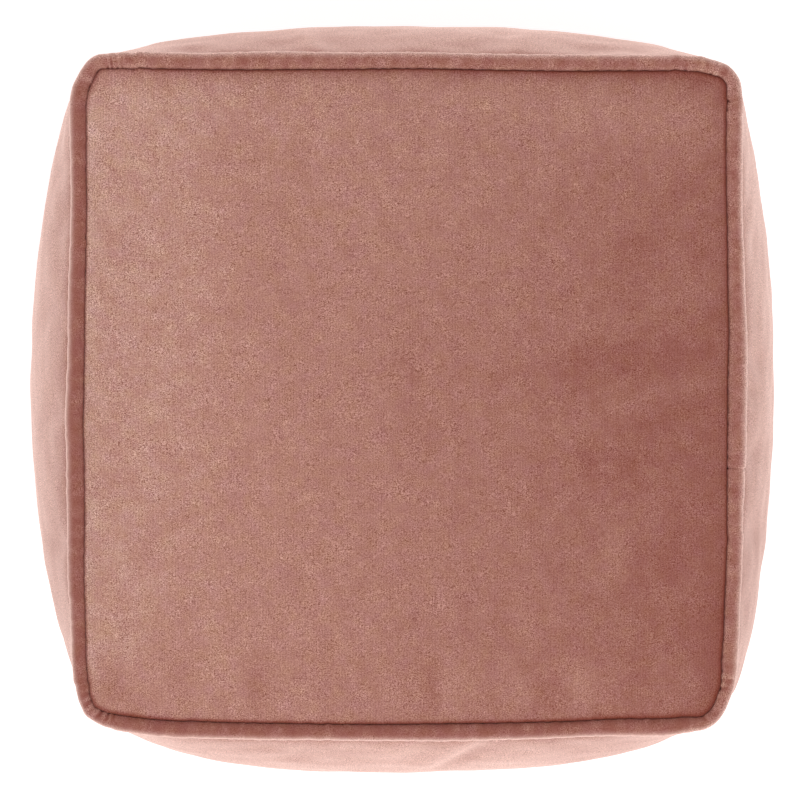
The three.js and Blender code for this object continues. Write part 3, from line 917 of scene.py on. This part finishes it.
# ---------------------------------------------------------------- bottom panel
def build_bottom_panel():
    along = stations(1.6, 3.6, 24, CORNERS)
    seam = bottom_seam(along)
    pucker = ripple(along, ROUND_IT, 16, 50, 81)
    rings, nap_light_shade = [], []
    shares = [0.35, 0.7, 0.8, BASE_FLAT, 0.855, 0.87, 0.89, 0.91, 0.93, 0.95, 0.97, 0.985, 0.995, 1.0]
    for u in shares:
        rings.append(with_height(seam * u, base_height(u) + SHEET))
    for u in reversed(shares):
        lift = 0.25 * pucker * math.sin(math.pi * min(1, max(0, (u - 0.87) / 0.13)))
        rings.append(with_height(seam * u, base_height(u) + np.maximum(lift, -0.3 * (u > 0.9)) * (u > 0.88)))
    rings = np.array(rings)
    rings[..., 2] = np.maximum(rings[..., 2], 0.0)
    for ring in rings:
        nap_light_shade.append(0.4 + 0.06 * field(ring, 25, 90, 82, 24))
    pale = [1.0] * len(rings)
    return loft(
        "bottom_panel_velvet", rings, [0, 0, SHEET], [0, 0, 0],
        {"nap_light_shade": levels(rings, nap_light_shade), "pale": levels(rings, pale)},
    )


# ---------------------------------------------------------------- velvet
def velvet(name, dark, light, stretch, grain, pale, pale_power, sheen, sheen_rough, rib=0.0, stir=0.35):
    """Short-pile velvet. dark and light are the pile seen against and with its lie; the mesh's attribute for the
    lie says which.
    That attribute also carries painted light and shade: darker down in seams, folds and tucks, lighter or darker
    on one side or another. stretch is the grain's scale along each axis. pale is how far the tips of the pile
    cover the colour where the cloth turns away from the eye, a sheen put into the base colour, and the mesh's
    pale attribute lessens it down in the seams. stir is how much coarser the grain is where the pile stands up."""
    m = bpy.data.materials.new(name)
    m.use_nodes = True
    nodes, links = m.node_tree.nodes, m.node_tree.links
    shader = nodes["Principled BSDF"]
    shader.inputs["Specular IOR Level"].default_value = 0.15
    shader.inputs["Sheen Weight"].default_value = sheen
    shader.inputs["Sheen Roughness"].default_value = sheen_rough
    shader.inputs["Sheen Tint"].default_value = (1.0, 0.80, 0.75, 1.0)
    link = links.new

    def node(kind, **values):
        n = nodes.new(kind)
        for key, value in values.items():
            setattr(n, key, value)
        return n

    def maths(op, *inputs):
        n = node("ShaderNodeMath", operation=op)
        for k, v in enumerate(inputs):
            if isinstance(v, (int, float)):
                n.inputs[k].default_value = v
            else:
                link(v, n.inputs[k])
        return n.outputs[0]

    place = node("ShaderNodeTexCoord")
    scale = node("ShaderNodeMapping")
    scale.inputs["Scale"].default_value = stretch
    link(place.outputs["Object"], scale.inputs["Vector"])
    offset = node("ShaderNodeMapping")
    offset.inputs["Location"].default_value = (3.1, 1.7, 2.3)
    link(place.outputs["Object"], offset.inputs["Vector"])

    def noise(size_mm, detail, rough, vector):
        n = node("ShaderNodeTexNoise")
        n.inputs["Scale"].default_value = 1000.0 / size_mm
        n.inputs["Detail"].default_value = detail
        n.inputs["Roughness"].default_value = rough
        link(vector, n.inputs["Vector"])
        return maths("SUBTRACT", n.outputs["Fac"], 0.5)

    pile = noise(0.62, 1.0, 0.6, scale.outputs["Vector"])
    tuft = noise(1.9, 1.0, 0.5, scale.outputs["Vector"])
    cloud = noise(13.0, 3.0, 0.55, place.outputs["Object"])
    nap_light_shade = node("ShaderNodeAttribute", attribute_name="nap_light_shade")
    tips = node("ShaderNodeAttribute", attribute_name="pale")
    # the grain is coarser where the pile stands up, and smoother where it lies flat and dark
    lively = maths("MULTIPLY_ADD", nap_light_shade.outputs["Fac"], stir, 0.77)
    lively = maths("MULTIPLY", lively, maths("MULTIPLY_ADD", cloud, 2.0, 1.0))
    lively = maths("MINIMUM", maths("MAXIMUM", lively, 0.4), 1.8)
    pile = maths("MULTIPLY", pile, lively)
    lie_and_shade = maths("MULTIPLY_ADD", cloud, 0.30, nap_light_shade.outputs["Fac"])
    lie_and_shade = maths("MULTIPLY_ADD", tuft, 0.30 * grain, lie_and_shade)
    lie_and_shade = maths("MULTIPLY_ADD", pile, 0.6 * grain, lie_and_shade)
    ramp = node("ShaderNodeValToRGB")
    d, l = np.array(dark), np.array(light)
    # the stops below 0 give the colours of the painted shade down in seams, folds and tucks
    stops = [
        (-1.6, d * (0.67, 0.44, 0.38)),
        (-0.8, d * (0.81, 0.63, 0.56)),
        (0.0, d),
        (1.0, l),
        (1.8, l * (l / d) ** 0.8),
    ]
    while len(ramp.color_ramp.elements) < len(stops):
        ramp.color_ramp.elements.new(0.5)
    for element, (where, colour) in zip(ramp.color_ramp.elements, stops):
        element.position = (where + 1.6) / 3.4
        element.color = (*colour, 1)
    link(maths("MULTIPLY_ADD", lie_and_shade, 1 / 3.4, 1.6 / 3.4), ramp.inputs["Fac"])
    # sheen put into the base colour: it turns to the pale colour as the surface turns away from the eye
    facing = node("ShaderNodeLayerWeight")
    facing.inputs["Blend"].default_value = 0.5
    cover = maths("MULTIPLY", maths("POWER", facing.outputs["Facing"], pale_power), pale)
    cover = maths("MULTIPLY", cover, maths("MULTIPLY_ADD", pile, 0.5 * grain, 1.0))
    cover = maths("MINIMUM", maths("MULTIPLY", cover, tips.outputs["Fac"]), 1.0)
    mix = node("ShaderNodeMix", data_type="RGBA")
    link(cover, mix.inputs["Factor"])
    # patches lean a little to pink or to tan
    drift = noise(10.0, 2.0, 0.5, offset.outputs["Vector"])
    lean = node("ShaderNodeCombineXYZ")
    lean.inputs["X"].default_value = 1.0
    link(maths("MULTIPLY_ADD", drift, -0.08, 1.0), lean.inputs["Y"])
    link(maths("MULTIPLY_ADD", drift, 0.30, 1.0), lean.inputs["Z"])
    leaning = node("ShaderNodeVectorMath", operation="MULTIPLY")
    link(ramp.outputs["Color"], leaning.inputs[0])
    link(lean.outputs["Vector"], leaning.inputs[1])
    link(leaning.outputs["Vector"], mix.inputs[6])
    mix.inputs[7].default_value = (0.89, 0.60, 0.53, 1)
    # each tuft catches or loses the light
    spark = maths("MULTIPLY_ADD", pile, 1.35 * grain, 1.0)
    if rib:
        split = node("ShaderNodeSeparateXYZ")
        link(place.outputs["Object"], split.inputs["Vector"])
        wander = maths("MULTIPLY_ADD", tuft, 2.2, maths("MULTIPLY", split.outputs["X"], 2000 * math.pi / 1.87))
        wave = maths("MULTIPLY", maths("SINE", wander), rib)
        spark = maths("ADD", spark, wave)
    spark = maths("MAXIMUM", spark, 0.15)
    grained = node("ShaderNodeVectorMath", operation="SCALE")
    link(mix.outputs[2], grained.inputs[0])
    link(spark, grained.inputs["Scale"])
    # the tips of the tufts are whiter and the gaps between them redder
    whiter = maths("MULTIPLY", pile, 0.20 * grain)
    white = node("ShaderNodeCombineXYZ")
    for axis in "XYZ":
        link(whiter, white.inputs[axis])
    tipped = node("ShaderNodeVectorMath", operation="ADD")
    link(grained.outputs["Vector"], tipped.inputs[0])
    link(white.outputs["Vector"], tipped.inputs[1])
    floor_of = node("ShaderNodeVectorMath", operation="MAXIMUM")
    link(tipped.outputs["Vector"], floor_of.inputs[0])
    floor_of.inputs[1].default_value = (0.02, 0.012, 0.01)
    link(floor_of.outputs["Vector"], shader.inputs["Base Color"])
    # pile and tufts in relief
    bump = node("ShaderNodeBump")
    bump.inputs["Strength"].default_value = 0.4
    bump.inputs["Distance"].default_value = 0.0004
    link(maths("MULTIPLY_ADD", tuft, 0.8, pile), bump.inputs["Height"])
    link(bump.outputs["Normal"], shader.inputs["Normal"])
    link(maths("MULTIPLY_ADD", cloud, 0.2, 0.86), shader.inputs["Roughness"])
    return m


DARK, LIGHT = (0.300, 0.108, 0.084), (0.455, 0.225, 0.180)
top_velvet = velvet("velvet_top", DARK, LIGHT, (0.75, 1.1, 1.0), 1.0, 0.35, 3.0, 0.15, 0.35, rib=0.05)
band_velvet = velvet("velvet_band", DARK, LIGHT, (1.0, 1.0, 0.4), 0.9, 1.0, 3.2, 0.12, 0.35)
piping_velvet = velvet("velvet_piping", DARK, LIGHT, (1.0, 1.0, 1.0), 0.8, 1.4, 1.35, 0.16, 0.30, stir=1.3)
base_velvet = velvet("velvet_base", DARK, LIGHT, (0.75, 1.1, 1.0), 1.0, 0.35, 3.0, 0.15, 0.40)

# ---------------------------------------------------------------- the pieces
top_panel = build_top_panel()
side_band = build_side_band()
bottom_panel = build_bottom_panel()
top_piping = piping_object(
    "top_piping_velvet", TOP_SEAM, "top", top_seam, seam_height, TOP_SEAM_Z, 101
)
bottom_piping = piping_object(
    "bottom_piping_velvet",
    BOTTOM_SEAM,
    "bottom",
    bottom_seam,
    lambda s: 0.4 * ripple(s, ROUND_IT, 80, 260, 141),
    BOTTOM_SEAM_Z,
    121,
    0.0,
)

for piece, node_name, material, slot in (
    (top_panel, "top_panel", top_velvet, "top_velvet"),
    (side_band, "side_band", band_velvet, "side_velvet"),
    (bottom_panel, "bottom_panel", base_velvet, "base_cloth"),
    (top_piping, "top_piping", piping_velvet, "piping_velvet"),
    (bottom_piping, "bottom_piping", piping_velvet, "piping_velvet"),
):
    piece.data.materials.clear()
    piece.data.materials.append(material)
    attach(piece, "root")
    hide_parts(node_name)

# ---------------------------------------------------------------- floor, light and camera
bpy.ops.mesh.primitive_plane_add(size=30, location=(0, 0, -0.0002))
floor = bpy.context.object
floor.name = "floor"
pale = bpy.data.materials.new("pale_floor")
pale.use_nodes = True
shader = pale.node_tree.nodes["Principled BSDF"]
shader.inputs["Base Color"].default_value = (0.72, 0.72, 0.72, 1)
shader.inputs["Roughness"].default_value = 0.9
shader.inputs["Specular IOR Level"].default_value = 0.0
shader.inputs["Emission Color"].default_value = (1, 1, 1, 1)
shader.inputs["Emission Strength"].default_value = 0.58
floor.data.materials.append(pale)

scene = bpy.context.scene
scene.view_settings.view_transform = "Standard"
scene.view_settings.look = "None"
world = bpy.data.worlds.new("studio")
scene.world = world
world.use_nodes = True
world.node_tree.nodes["Background"].inputs["Color"].default_value = (1.0, 0.995, 0.99, 1)
world.node_tree.nodes["Background"].inputs["Strength"].default_value = 0.60


def softbox(name, place, size, power):
    """A rectangular lamp that looks at the footstool."""
    light = bpy.data.lights.new(name, "AREA")
    light.shape = "RECTANGLE"
    light.size, light.size_y = size
    light.energy = power
    o = bpy.data.objects.new(name, light)
    o.location = place
    way = mathutils.Vector((0, 0, 0.3)) - mathutils.Vector(place)
    o.rotation_euler = way.to_track_quat("-Z", "Y").to_euler()
    scene.collection.objects.link(o)
    return o


softbox("key", (0.9, -3.7, 4.4), (3.2, 2.2), 136)
softbox("fill_left", (-4.6, 0.3, 2.9), (2.6, 2.6), 34)
softbox("fill_back", (-0.3, 4.6, 2.6), (2.6, 2.0), 44)

camera = bpy.data.cameras.new("camera")
camera.sensor_width = 36
camera.lens = 36 * 3904 / 800
camera.clip_end = 100
view = bpy.data.objects.new("camera", camera)
view.location = (-0.00125, -0.00125, 0.3748 + 2.6)
view.rotation_euler = (0, 0, 0)
scene.collection.objects.link(view)
scene.camera = view
